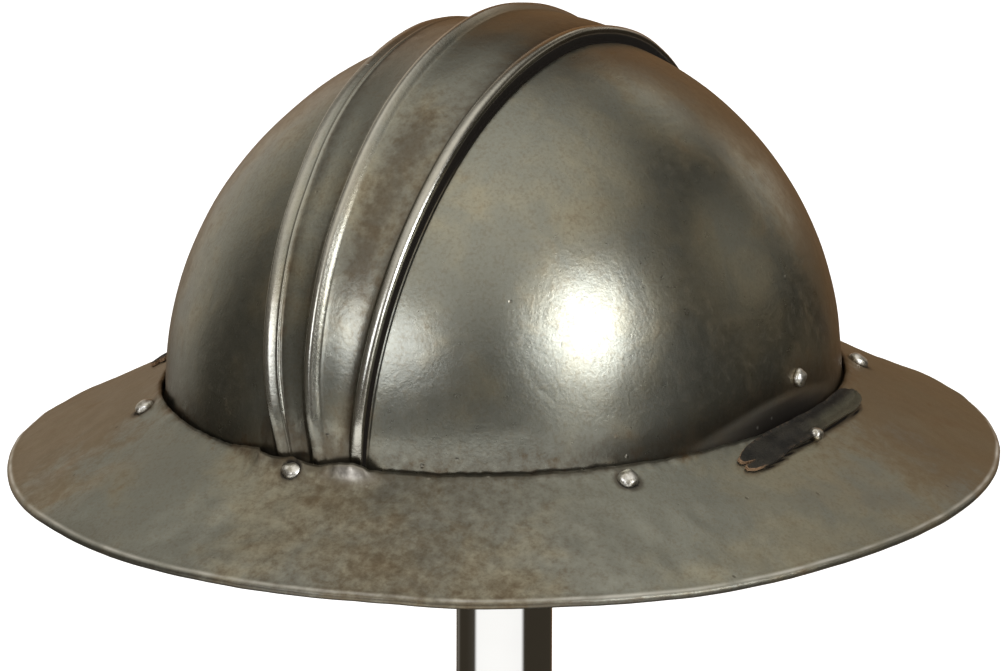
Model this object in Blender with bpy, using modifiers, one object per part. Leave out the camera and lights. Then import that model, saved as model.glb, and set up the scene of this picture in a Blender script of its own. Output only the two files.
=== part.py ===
"""A kettle hat of hammered steel on a plain stand.

Metres, +Z up, +X the front of the hat, origin on the floor under the middle of the stand.
The hat is an oval bowl with a comb of three ribs, set through an oval sloping brim.
The bowl's foot is turned out under the brim, and rivets hold the two together.
"""

import math

import bmesh
import bpy
import numpy as np
from mathutils import Vector

MM = 0.001

# Plates
PLATE = 1.6 * MM
PLATE_GAP = 0.5 * MM            # between the brim and the foot of the crown under it
SEAM_GAP = 0.5 * MM             # the open line around the crown where it passes the brim

# Brim, measured over the hem
BRIM_LENGTH = 349.2 * MM
BRIM_WIDTH = 323.7 * MM
BRIM_DROP = 27.6 * MM           # from the seam at the crown down to the middle of the hem
HEM_HEIGHT = 3.5 * MM
HEM_TURN = 6.5 * MM             # how far the folded edge runs back under the brim

# Crown, a half ellipsoid at its plain outside
CROWN_LENGTH = 246.8 * MM
CROWN_WIDTH = 216.5 * MM
CROWN_HEIGHT = 115.6 * MM
FOOT_WIDTH = 18.0 * MM          # along the slope of the brim
FOOT_BEND = 1.2 * MM            # inside radius where the foot turns out

# Comb, three ribs that run from the front of the crown over the top to the back
RIB_SPACING_FOOT = {"left": 12.6 * MM, "right": 13.6 * MM}
RIB_SPACING_TOP = {"left": 28.3 * MM, "right": 24.6 * MM}
COMB_SHIFT_FOOT = 0.9 * MM      # the comb was set by eye and leans to one side over the top
COMB_SHIFT_TOP = -6.9 * MM
MIDDLE_RIB_FOOT = 4.0 * MM
MIDDLE_RIB_TOP = 7.8 * MM
OUTER_RIB_FOOT = 3.6 * MM
OUTER_RIB_TOP = 4.6 * MM
CREST_HALF = 2.2 * MM
FLANK = 2.8 * MM                # from the crest's edge to the foot of an inner flank
OUTER_FLANK = 1.8 * MM          # the outermost flanks stand nearly upright

# Rivets
RIVET_HEAD = 7.0 * MM
RIVET_HEIGHT = 2.6 * MM
RIVET_SHANK = 3.0 * MM
RIVET_TAIL_HEIGHT = 1.1 * MM
STRAP_RIVET_HEAD = 4.6 * MM
STRAP_RIVET_HEIGHT = 2.3 * MM
CROWN_RIVET_HEAD = 6.2 * MM
CROWN_RIVET_HEIGHT = 2.2 * MM
CROWN_RIVET_RISE = 12.5 * MM    # above the seam
RIVET_SEAT = 0.3 * MM           # under a head and over a tail
HOLE_PLAY = 0.3 * MM            # around a shank
HEAD_SHOULDER = (0.36, 0.62)    # the dome's turning point, as shares of its width and height
TAIL_SPREAD = 0.84              # the tail's radius as a share of the shank's diameter
TAIL_SHOULDER = (0.7, 0.8)      # the tail's end, as shares of its radius and height
FACET_SAG = 0.25 * MM           # how far the crown's flat faces lie inside its true curve

# Side straps
STRAP_THICKNESS = 1.6 * MM
STRAP_WIDTH = 10.7 * MM         # outer edge, along the slope from the seam
STRAP_INNER = 1.4 * MM          # inner edge, along the slope from the seam
STRAP_SEAT = 0.35 * MM
STRAP_FRONT = math.radians(70.5)
STRAP_REAR = math.radians(110.0)
STRAP_NOTCH = 3.0 * MM
STRAP_TURN = {"left": 0.0, "right": 7.0}    # degrees that a strap sits further back

# Stand
BASE_DIAMETER = 200.0 * MM
BASE_THICKNESS = 12.0 * MM
BASE_EDGE = 2.0 * MM
POST_DIAMETER = 32.0 * MM
BRIM_HEIGHT = 162.0 * MM        # middle of the hem above the floor
CAP_DIAMETER = 110.0 * MM
CAP_EDGE = 6.0 * MM
CAP_SEAT = 0.6 * MM             # the pad's clearance under the crown
JOINT_GAP = 0.3 * MM            # between the parts of the stand

SIDES = {"left": 1, "right": -1}
SEAM_HEIGHT = BRIM_HEIGHT + BRIM_DROP
HEM_RADIUS = HEM_HEIGHT / 2
CROWN_AXES = (CROWN_LENGTH / 2, CROWN_WIDTH / 2, CROWN_HEIGHT)
HEM_AXES = (BRIM_LENGTH / 2 - HEM_RADIUS, BRIM_WIDTH / 2 - HEM_RADIUS)

# Rivets through brim and foot: angle around the oval, distance from the seam along the slope
BRIM_RIVETS = {
    "front": (-4.0, 6.0 * MM),
    "right_front": (-49.8, 8.0 * MM),
    "right_rear": (-128.8, 7.6 * MM),
    "left_front": (50.9, 7.8 * MM),
    "left_rear": (128.8, 7.6 * MM),
    "rear": (180.0, 7.6 * MM),
}
STRAP_RIVET_ANGLE = 86.8
STRAP_RIVET_PLACE = 10.7 * MM   # at the strap's outer edge, which it grips
CROWN_RIVET_ANGLE = 91.0

# Half of the comb, from its middle line outwards: which rib line the column follows as a share
# of the rib spacing, its offset from that line, and its height at the foot and at the top
CHANNEL_FOOT = 1.3 * MM
CHANNEL_TOP = 4.3 * MM
COMB_COLUMNS = (
    {"rib": 0.0, "offset": 0.0, "foot": MIDDLE_RIB_FOOT, "top": MIDDLE_RIB_TOP},
    {"rib": 0.0, "offset": CREST_HALF, "foot": 0.92 * MIDDLE_RIB_FOOT, "top": 0.95 * MIDDLE_RIB_TOP},
    {"rib": 0.0, "offset": CREST_HALF + FLANK, "foot": CHANNEL_FOOT, "top": 1.15 * CHANNEL_TOP},
    {"rib": 0.5, "offset": 0.0, "foot": CHANNEL_FOOT, "top": CHANNEL_TOP},
    {"rib": 1.0, "offset": -CREST_HALF - FLANK, "foot": CHANNEL_FOOT, "top": 0.88 * CHANNEL_TOP},
    {"rib": 1.0, "offset": -CREST_HALF, "foot": OUTER_RIB_FOOT, "top": OUTER_RIB_TOP},
    {"rib": 1.0, "offset": CREST_HALF, "foot": OUTER_RIB_FOOT, "top": OUTER_RIB_TOP},
    {"rib": 1.0, "offset": CREST_HALF + OUTER_FLANK, "foot": 0.0, "top": 0.0},
)

# Edges of a side strap along its length: shares of the strap's width from inner to outer edge
STRAP_STATIONS = (
    {"along": 0.00, "inner": 0.70, "outer": 1.25},
    {"along": 0.07, "inner": 0.45, "outer": 1.42},
    {"along": 0.20, "inner": 0.00, "outer": 1.12},
    {"along": 0.45, "inner": 0.00, "outer": 1.00},
    {"along": 0.75, "inner": 0.00, "outer": 0.76},
    {"along": 0.94, "inner": 0.05, "outer": 0.72},
    {"along": 1.00, "inner": 0.20, "outer": 0.55},
)

CROWN_ROWS = 24                 # from the front seam over the top to the rear seam
SIDE_COLUMNS = 9                # on each side of the comb
COLUMNS = 2 * (len(COMB_COLUMNS) - 1 + SIDE_COLUMNS)
BEND_STEPS = 1
HEM_STEPS = 3
BRIM_SHARES = (0.30, 0.62, 1.0)
STRAP_STEPS = (14, 4)
RIVET_SIDES = 10
HOLE_SIDES = 10
HOLE_LENGTH = 16.0 * MM
ROUND_SIDES = 36
EDGE_STEPS = 2
HALVINGS = 40
CAP_RINGS = 6

SMOOTH_ANGLE = math.radians(35)
MERGE = 0.00001


def clear_scene():
    """Remove the objects that a new file starts with."""
    for scene_object in list(bpy.data.objects):
        bpy.data.objects.remove(scene_object, do_unlink=True)


def new_collection(name):
    collection = bpy.data.collections.new(name)
    bpy.context.scene.collection.children.link(collection)
    return collection


def metal(name, color, roughness, metallic=1.0):
    """A Principled material with one colour, roughness and metallic value."""
    material = bpy.data.materials.new(name)
    material.use_nodes = True
    shader = material.node_tree.nodes["Principled BSDF"]
    shader.inputs["Base Color"].default_value = (*color, 1.0)
    shader.inputs["Roughness"].default_value = roughness
    shader.inputs["Metallic"].default_value = metallic
    return material


def add_object(name, mesh, collection, material=None, parent=None):
    part = bpy.data.objects.new(name, mesh)
    collection.objects.link(part)
    if material is not None:
        mesh.materials.append(material)
        mesh.shade_smooth()
        mesh.set_sharp_from_angle(angle=SMOOTH_ANGLE)
    part.parent = parent
    return part


def cylinder(sides, radius, height):
    """A closed upright cylinder around the origin."""
    bm = bmesh.new()
    size = {"radius1": radius, "radius2": radius, "depth": height}
    bmesh.ops.create_cone(bm, cap_ends=True, segments=sides, **size)
    return bm


def mesh_from(bm, name):
    mesh = bpy.data.meshes.new(name)
    bm.to_mesh(mesh)
    bm.free()
    return mesh


def thicken(part, thickness, offset):
    """Give an open sheet its wall: offset -1 grows it inwards, +1 outwards."""
    solidify = part.modifiers.new("wall", "SOLIDIFY")
    solidify.thickness = thickness
    solidify.offset = offset


def drill(part, cutters):
    """Cut the part with every object of a collection of cutters."""
    cut = part.modifiers.new("rivet holes", "BOOLEAN")
    cut.operation = "DIFFERENCE"
    cut.operand_type = "COLLECTION"
    cut.collection = cutters
    cut.solver = "EXACT"


# The oval's section, in the upright plane from the seam to the hem


def section(angle):
    """Start, outward direction, slope and length of the brim's top line at an angle."""
    start = np.array([CROWN_AXES[0] * math.cos(angle), CROWN_AXES[1] * math.sin(angle)])
    hem = np.array([HEM_AXES[0] * math.cos(angle), HEM_AXES[1] * math.sin(angle)])
    run = np.linalg.norm(hem - start)
    chord = math.hypot(run, BRIM_DROP)
    slope = math.atan2(BRIM_DROP, run) - math.asin(HEM_RADIUS / chord)
    return start, (hem - start) / run, slope, math.sqrt(chord ** 2 - HEM_RADIUS ** 2)


def in_plane(angle, out, height):
    """The point that lies out from the seam and height above it, in the angle's plane."""
    start, direction, _, _ = section(angle)
    plan = start + out * direction
    return Vector((plan[0], plan[1], SEAM_HEIGHT + height))


def on_slope(angle, along, above):
    """The point along the brim's slope and above its top line, at an angle."""
    _, _, slope, _ = section(angle)
    out = along * math.cos(slope) + above * math.sin(slope)
    return in_plane(angle, out, above * math.cos(slope) - along * math.sin(slope))


def slope_normal(angle):
    _, direction, slope, _ = section(angle)
    return Vector((*(math.sin(slope) * direction), math.cos(slope)))


# Crown


def disc(u, v):
    """Map the square -1..1 to the unit disc: its radius, and its direction's cosine and sine."""
    x = u * np.sqrt(1 - v ** 2 / 2)
    y = v * np.sqrt(1 - u ** 2 / 2)
    radius = np.hypot(x, y)
    safe = np.where(radius > 0, radius, 1)
    return radius, np.where(radius > 0, x / safe, 1), y / safe


def side_place(u, v):
    """Sideways place of a grid point on the plain crown."""
    radius, _, sine = disc(u, v)
    return CROWN_AXES[1] * np.sin(radius * math.pi / 2) * sine


def find_column(u, target):
    """The grid's v at which row u crosses the sideways place target, by halving."""
    low = np.full_like(target, -1.0)
    high = np.full_like(target, 1.0)
    for _ in range(HALVINGS):
        middle = (low + high) / 2
        under = side_place(u, middle) < target
        low = np.where(under, middle, low)
        high = np.where(under, high, middle)
    return (low + high) / 2


def crown_grid():
    """Rows by columns of u, v and height above the plain crown, from right to left."""
    rows = np.linspace(-1, 1, CROWN_ROWS + 1)
    rise = np.cos(rows * math.pi / 2)
    shift = COMB_SHIFT_FOOT + (COMB_SHIFT_TOP - COMB_SHIFT_FOOT) * rise
    places, heights = [], []
    half = [("right", column) for column in COMB_COLUMNS[:0:-1]]
    half += [("left", column) for column in COMB_COLUMNS]
    for side, column in half:
        spacing = RIB_SPACING_FOOT[side] + (RIB_SPACING_TOP[side] - RIB_SPACING_FOOT[side]) * rise
        places.append(shift + SIDES[side] * (column["rib"] * spacing + column["offset"]))
        heights.append(column["foot"] + (column["top"] - column["foot"]) * rise)
    u = np.repeat(rows[:, None], COLUMNS + 1, axis=1)
    comb = find_column(u[:, :len(places)], np.stack(places, axis=1))
    steps = np.arange(1, SIDE_COLUMNS + 1) / SIDE_COLUMNS
    left = comb[:, -1:] + (1 - comb[:, -1:]) * steps
    right = comb[:, :1] + (-1 - comb[:, :1]) * steps[::-1]
    v = np.concatenate([right, comb, left], axis=1)
    plain = np.zeros((CROWN_ROWS + 1, SIDE_COLUMNS))
    height = np.concatenate([plain, np.stack(heights, axis=1), plain], axis=1)
    return u, v, height


def dome_points(radius, cosine, sine, height, shrink=0.0):
    """Points of the crown's half ellipsoid, raised along its normal by height."""
    axes = np.array(CROWN_AXES) - shrink
    polar = radius * math.pi / 2
    unit = np.stack([np.sin(polar) * cosine, np.sin(polar) * sine, np.cos(polar)], axis=-1)
    normal = unit / axes
    normal /= np.linalg.norm(normal, axis=-1, keepdims=True)
    return unit * axes + normal * height[..., None] + np.array([0, 0, SEAM_HEIGHT])


def foot_outline():
    """Angle and rib height of each point of the crown's foot, around from the front."""
    u, v, height = crown_grid()
    edge = np.ones_like(u, dtype=bool)
    edge[1:-1, 1:-1] = False
    _, cosine, sine = disc(u[edge], v[edge])
    angle = np.arctan2(sine, cosine)
    order = np.argsort(angle)
    return angle[order], height[edge][order]


def seam_clearance(angle, rise):
    """How far the brim's edge stays out of the plain oval, so that it clears the ribs' feet."""
    across = np.abs(np.diff(np.append(angle, angle[0] + 2 * math.pi))) * CROWN_AXES[1]
    step = np.abs(np.diff(np.append(rise, rise[0]))) / across
    steepest = np.maximum(step, np.roll(step, 1))
    return rise + SEAM_GAP * np.sqrt(1 + steepest ** 2)


def foot_ring(angle, rise, ring):
    """Rings of the turned-out foot: the bend's arc, then the outer edge under the brim."""
    _, _, slope, _ = section(angle)
    depth = (PLATE + PLATE_GAP) / math.cos(slope)
    turn = math.pi / 2 - slope
    if ring > BEND_STEPS:
        out = rise + FOOT_WIDTH * math.cos(slope)
        return in_plane(angle, out, -out * math.tan(slope) - depth)
    start = -rise * math.tan(slope) - depth + FOOT_BEND * math.tan(turn / 2)
    around = math.pi + turn * ring / BEND_STEPS
    out = rise + FOOT_BEND + FOOT_BEND * math.cos(around)
    return in_plane(angle, out, start + FOOT_BEND * math.sin(around))


def extrude_rings(bm, edges, rings, place):
    """Extrude a loop of edges ring by ring; place gives each new point from its two layers."""
    angle = bm.verts.layers.float["angle"]
    rise = bm.verts.layers.float["rise"]
    for ring in range(rings):
        result = bmesh.ops.extrude_edge_only(bm, edges=edges)["geom"]
        edges = [item for item in result if isinstance(item, bmesh.types.BMEdge)]
        for vert in (item for item in result if isinstance(item, bmesh.types.BMVert)):
            vert.co = place(vert[angle], vert[rise], ring)
    return edges


def make_crown(collection, material, parent, cutters):
    """The bowl with its ribs, and the foot turned out under the brim."""
    u, v, height = crown_grid()
    radius, cosine, sine = disc(u, v)
    points = dome_points(radius, cosine, sine, height)
    bm = bmesh.new()
    angle_layer = bm.verts.layers.float.new("angle")
    rise_layer = bm.verts.layers.float.new("rise")
    bmesh.ops.create_grid(bm, x_segments=CROWN_ROWS, y_segments=COLUMNS, size=1)
    for vert in bm.verts:
        row = round((vert.co.x + 1) / 2 * CROWN_ROWS)
        column = round((vert.co.y + 1) / 2 * COLUMNS)
        vert[angle_layer] = math.atan2(sine[row, column], cosine[row, column])
        vert[rise_layer] = height[row, column]
        vert.co = points[row, column]
    boundary = [edge for edge in bm.edges if edge.is_boundary]
    extrude_rings(bm, boundary, BEND_STEPS + 2, foot_ring)
    crown = add_object("crown", mesh_from(bm, "crown"), collection, material, parent)
    thicken(crown, PLATE, -1)
    drill(crown, cutters)
    return crown


# Brim


def brim_edge(angle, clearance):
    """Where the plate starts along the slope, so that its lower edge clears the crown."""
    slope = section(angle)[2]
    return (clearance + PLATE * math.sin(slope)) / math.cos(slope)


def brim_ring(angle, clearance, ring):
    """Rings of the brim: down the slope, around the hem, and back under."""
    _, _, slope, length = section(angle)
    if ring < len(BRIM_SHARES):
        start = brim_edge(angle, clearance)
        return on_slope(angle, start + (length - start) * BRIM_SHARES[ring], 0)
    step = ring - len(BRIM_SHARES) + 1
    if step > HEM_STEPS:
        return on_slope(angle, length - HEM_TURN, -HEM_HEIGHT)
    around = math.pi * step / HEM_STEPS
    return on_slope(angle, length + HEM_RADIUS * math.sin(around), HEM_RADIUS * (math.cos(around) - 1))


def make_brim(collection, material, parent, cutters):
    """The sloping plate with its folded hem, its hole following the crown's foot."""
    angles, rises = foot_outline()
    clearance = seam_clearance(angles, rises)
    bm = bmesh.new()
    angle_layer = bm.verts.layers.float.new("angle")
    rise_layer = bm.verts.layers.float.new("rise")
    circle = bmesh.ops.create_circle(bm, segments=len(angles), radius=1)["verts"]
    for vert, angle, clear in zip(circle, angles, clearance):
        vert[angle_layer] = angle
        vert[rise_layer] = clear
        vert.co = on_slope(angle, brim_edge(angle, clear), 0)
    extrude_rings(bm, list(bm.edges), len(BRIM_SHARES) + HEM_STEPS + 1, brim_ring)
    if sum(face.normal.z for face in bm.faces) < 0:
        bmesh.ops.reverse_faces(bm, faces=bm.faces)
    brim = add_object("brim", mesh_from(bm, "brim"), collection, material, parent)
    thicken(brim, PLATE, -1)
    drill(brim, cutters)
    return brim


# Rivets


def rivet_profile(head, height, grip):
    """Half outline of a rivet from the top of its head down to the end of its tail."""
    shank = RIVET_SHANK / 2
    tail = TAIL_SPREAD * RIVET_SHANK
    return [
        (0, height),
        (HEAD_SHOULDER[0] * head, HEAD_SHOULDER[1] * height),
        (head / 2, 0),
        (shank, 0),
        (shank, -grip),
        (tail, -grip),
        (TAIL_SHOULDER[0] * tail, -grip - TAIL_SHOULDER[1] * RIVET_TAIL_HEIGHT),
        (0, -grip - RIVET_TAIL_HEIGHT),
    ]


def make_rivet(name, place, normal, profile, collection, material, parent):
    """A rivet turned around its shank and set along the plate's normal."""
    mesh = bpy.data.meshes.new(name)
    points = [(x, 0, z) for x, z in profile]
    mesh.from_pydata(points, [(i, i + 1) for i in range(len(points) - 1)], [])
    rivet = add_object(name, mesh, collection, material, parent)
    rivet.location = place
    rivet.rotation_euler = Vector(normal).to_track_quat("Z", "Y").to_euler()
    turn = rivet.modifiers.new("turn", "SCREW")
    turn.steps = RIVET_SIDES
    turn.render_steps = RIVET_SIDES
    turn.use_merge_vertices = True
    turn.merge_threshold = MERGE
    return rivet


def make_cutter(place, normal, collection):
    """A cylinder through the plates, for a rivet's hole."""
    bm = cylinder(HOLE_SIDES, RIVET_SHANK / 2 + HOLE_PLAY, HOLE_LENGTH)
    cutter = add_object("hole cutter", mesh_from(bm, "hole cutter"), collection)
    cutter.location = place
    cutter.rotation_euler = Vector(normal).to_track_quat("Z", "Y").to_euler()
    cutter.hide_render = True
    cutter.display_type = "WIRE"
    return cutter


def make_brim_rivets(collection, material, parent, cutters):
    """The rivets around the brim, two of them also through the side straps."""
    grip = 2 * PLATE + PLATE_GAP + 2 * RIVET_SEAT
    seats = {}
    for name, (angle, along) in BRIM_RIVETS.items():
        seats[name] = (angle, along, RIVET_SEAT, (RIVET_HEAD, RIVET_HEIGHT, grip))
    through = STRAP_SEAT + STRAP_THICKNESS
    strap_head = (STRAP_RIVET_HEAD, STRAP_RIVET_HEIGHT, grip + through)
    for name, side in SIDES.items():
        angle = side * (STRAP_RIVET_ANGLE + STRAP_TURN[name])
        seats[name] = (angle, STRAP_RIVET_PLACE, through + RIVET_SEAT, strap_head)
    for name, (degrees, along, above, (head, height, length)) in seats.items():
        angle = math.radians(degrees)
        place = on_slope(angle, along, above)
        normal = slope_normal(angle)
        profile = rivet_profile(head, height, length)
        make_rivet("brim_rivet_" + name, place, normal, profile, collection, material, parent)
        make_cutter(on_slope(angle, along, 0), normal, cutters)


def make_crown_rivets(collection, material, parent, cutters):
    """One rivet low in each side of the crown."""
    grip = PLATE + 2 * RIVET_SEAT + FACET_SAG
    profile = rivet_profile(CROWN_RIVET_HEAD, CROWN_RIVET_HEIGHT, grip)
    radius = np.array(math.acos(CROWN_RIVET_RISE / CROWN_HEIGHT) / (math.pi / 2))
    for name, side in SIDES.items():
        angle = math.radians(side * CROWN_RIVET_ANGLE)
        direction = (radius, np.array(math.cos(angle)), np.array(math.sin(angle)))
        face = Vector(dome_points(*direction, np.array(0.0)))
        seat = Vector(dome_points(*direction, np.array(RIVET_SEAT - FACET_SAG / 2)))
        normal = (seat - face).normalized()
        make_rivet("crown_rivet_" + name, seat, normal, profile, collection, material, parent)
        make_cutter(face, normal, cutters)


# Side straps


def strap_point(along, across, turn):
    """A point under a strap on the left, turned further back; along and across run from 0 to 1."""
    at = [station["along"] for station in STRAP_STATIONS]
    inner = np.interp(along, at, [station["inner"] for station in STRAP_STATIONS])
    outer = np.interp(along, at, [station["outer"] for station in STRAP_STATIONS])
    width = STRAP_WIDTH - STRAP_INNER
    place = STRAP_INNER + width * (inner + (outer - inner) * across)
    angle = STRAP_FRONT + (STRAP_REAR - STRAP_FRONT) * along + math.radians(turn)
    if along == 0 and across == 0.5:
        angle += STRAP_NOTCH / CROWN_AXES[0]
    return on_slope(angle, place, STRAP_SEAT)


def make_straps(collection, material, parent, cutters):
    """A short leather strip on each side of the brim, notched at its front end."""
    lengths, widths = STRAP_STEPS
    for name, side in SIDES.items():
        bm = bmesh.new()
        bmesh.ops.create_grid(bm, x_segments=lengths, y_segments=widths, size=1)
        for vert in bm.verts:
            along = round((vert.co.x + 1) / 2 * lengths) / lengths
            across = round((vert.co.y + 1) / 2 * widths) / widths
            vert.co = strap_point(along, across, STRAP_TURN[name])
            vert.co.y *= side
        bm.normal_update()
        if sum(face.normal.z for face in bm.faces) < 0:
            bmesh.ops.reverse_faces(bm, faces=bm.faces)
        strap = add_object("side_strap_" + name, mesh_from(bm, name), collection, material, parent)
        thicken(strap, STRAP_THICKNESS, 1)
        drill(strap, cutters)


# Stand


def cap_height(out):
    """Height of the pad's top above the seam, under the plain crown, at a distance out."""
    axes = [axis - PLATE - CAP_SEAT for axis in CROWN_AXES]
    return axes[2] * math.sqrt(1 - (out / min(axes[:2])) ** 2)


CAP_BOTTOM = SEAM_HEIGHT + cap_height(CAP_DIAMETER / 2) - CAP_EDGE


def make_cap(collection, material, parent):
    """A domed pad under the crown: a turned outline that follows the inside of the bowl."""
    mesh = bpy.data.meshes.new("stand_cap")
    reach = np.linspace(0, CAP_DIAMETER / 2, CAP_RINGS)
    points = [(out, 0, SEAM_HEIGHT + cap_height(out)) for out in reach]
    points += [(CAP_DIAMETER / 2, 0, CAP_BOTTOM), (0, 0, CAP_BOTTOM)]
    mesh.from_pydata(points, [(i, i + 1) for i in range(len(points) - 1)], [])
    cap = add_object("stand_cap", mesh, collection, material, parent)
    turn = cap.modifiers.new("turn", "SCREW")
    turn.steps = ROUND_SIDES
    turn.render_steps = ROUND_SIDES
    turn.use_merge_vertices = True
    turn.merge_threshold = MERGE


def make_round(name, diameter, bottom, top, edge, collection, material, parent):
    """An upright cylinder with its edges rounded over."""
    bm = cylinder(ROUND_SIDES, diameter / 2, top - bottom)
    part = add_object(name, mesh_from(bm, name), collection, material, parent)
    part.location = (0, 0, (bottom + top) / 2)
    if edge:
        bevel = part.modifiers.new("rounded edge", "BEVEL")
        bevel.width = edge
        bevel.segments = EDGE_STEPS
        bevel.limit_method = "ANGLE"


def make_stand(collection, materials, parent):
    """A flat round base, an upright post and the pad that the hat sits on."""
    base_top = BASE_THICKNESS
    make_round("stand_base", BASE_DIAMETER, 0, base_top, BASE_EDGE, collection, materials["polish"], parent)
    post = (base_top + JOINT_GAP, CAP_BOTTOM - JOINT_GAP)
    make_round("stand_post", POST_DIAMETER, *post, 0, collection, materials["polish"], parent)
    make_cap(collection, materials["pad"], parent)


def main():
    clear_scene()
    parts = new_collection("Kettle hat on stand")
    cutters = new_collection("Cutters")
    brim_cutters = bpy.data.collections.new("Brim rivet holes")
    crown_cutters = bpy.data.collections.new("All rivet holes")
    cutters.children.link(crown_cutters)
    crown_cutters.children.link(brim_cutters)
    materials = {
        "steel": metal("darkened steel", (0.20, 0.185, 0.155), 0.34),
        "rivet": metal("worn rivet steel", (0.36, 0.34, 0.30), 0.36),
        "leather": metal("old leather", (0.07, 0.058, 0.042), 0.6, 0.0),
        "polish": metal("polished steel", (0.62, 0.62, 0.61), 0.08),
        "pad": metal("black pad", (0.03, 0.03, 0.03), 0.5, 0.0),
    }
    root = bpy.data.objects.new("hat on stand", None)
    parts.objects.link(root)
    make_brim_rivets(parts, materials["rivet"], root, brim_cutters)
    make_crown_rivets(parts, materials["rivet"], root, crown_cutters)
    make_crown(parts, materials["steel"], root, crown_cutters)
    make_brim(parts, materials["steel"], root, brim_cutters)
    make_straps(parts, materials["leather"], root, brim_cutters)
    make_stand(parts, materials, root)


main()
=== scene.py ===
"""The looks of the kettle hat on its stand: every visible surface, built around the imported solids."""

import math

import bpy
import numpy as np
from mathutils import Matrix, Vector


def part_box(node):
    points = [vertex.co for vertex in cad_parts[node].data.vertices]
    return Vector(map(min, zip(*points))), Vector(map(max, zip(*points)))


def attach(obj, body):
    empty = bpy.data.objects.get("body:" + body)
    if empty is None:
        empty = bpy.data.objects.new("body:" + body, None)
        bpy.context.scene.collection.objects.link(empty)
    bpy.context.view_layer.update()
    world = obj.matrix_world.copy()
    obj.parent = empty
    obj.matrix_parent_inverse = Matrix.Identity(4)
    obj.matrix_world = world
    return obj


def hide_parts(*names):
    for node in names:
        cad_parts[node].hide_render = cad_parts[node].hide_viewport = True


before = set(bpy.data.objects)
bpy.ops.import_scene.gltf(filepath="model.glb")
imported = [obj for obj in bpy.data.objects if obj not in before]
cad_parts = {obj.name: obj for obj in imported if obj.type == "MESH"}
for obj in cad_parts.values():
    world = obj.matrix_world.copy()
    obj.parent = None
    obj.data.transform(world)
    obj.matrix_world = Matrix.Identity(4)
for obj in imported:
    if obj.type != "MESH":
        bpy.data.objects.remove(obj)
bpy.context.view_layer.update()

MM = 0.001


def node_size(name):
    """Length, width and height of a solid of the frame."""
    low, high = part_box(name)
    return [high[axis] - low[axis] for axis in range(3)]


# Sizes that the frame gives
BRIM_LENGTH, BRIM_WIDTH, _ = node_size("brim")
BASE_DIAMETER, _, BASE_THICKNESS = node_size("stand_base")
POST_DIAMETER = node_size("stand_post")[0]
POST_BOTTOM, POST_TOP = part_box("stand_post")[0][2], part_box("stand_post")[1][2]
CAP_DIAMETER = node_size("stand_cap")[0]
CAP_BOTTOM, CAP_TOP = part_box("stand_cap")[0][2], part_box("stand_cap")[1][2]

# Sizes of the plates. The solids have the same ones, but for a plainer and higher hem
PLATE = 1.6 * MM
PLATE_GAP = 0.5 * MM
SEAM_GAP = 0.5 * MM
BRIM_DROP = 27.6 * MM
HEM_HEIGHT = 2.7 * MM
HEM_FLAP = 0.9 * MM
HEM_TURN = 6.5 * MM
BRIM_HEIGHT = 162.0 * MM
FOOT_WIDTH = 18.0 * MM
FOOT_BEND = 1.2 * MM
HEM_RADIUS = HEM_HEIGHT / 2
SEAM_HEIGHT = BRIM_HEIGHT + BRIM_DROP
CROWN_AXES = np.array([123.4, 108.25, 115.6]) * MM
HEM_AXES = (BRIM_LENGTH / 2 - HEM_RADIUS, BRIM_WIDTH / 2 - HEM_RADIUS)

# The comb: three ribs over the crown from front to back. Sideways places of the right, middle and
# left rib in mm, at the crown's foot and at its top, and how far each bows aside between them
RIBS = (-1, 0, 1)
RIBS_FOOT = (-14.3, 0.2, 13.4)
RIBS_TOP = (-31.5, -6.9, 21.4)
RIBS_BOW = (-2.1, -2.1, -0.5)

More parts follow.
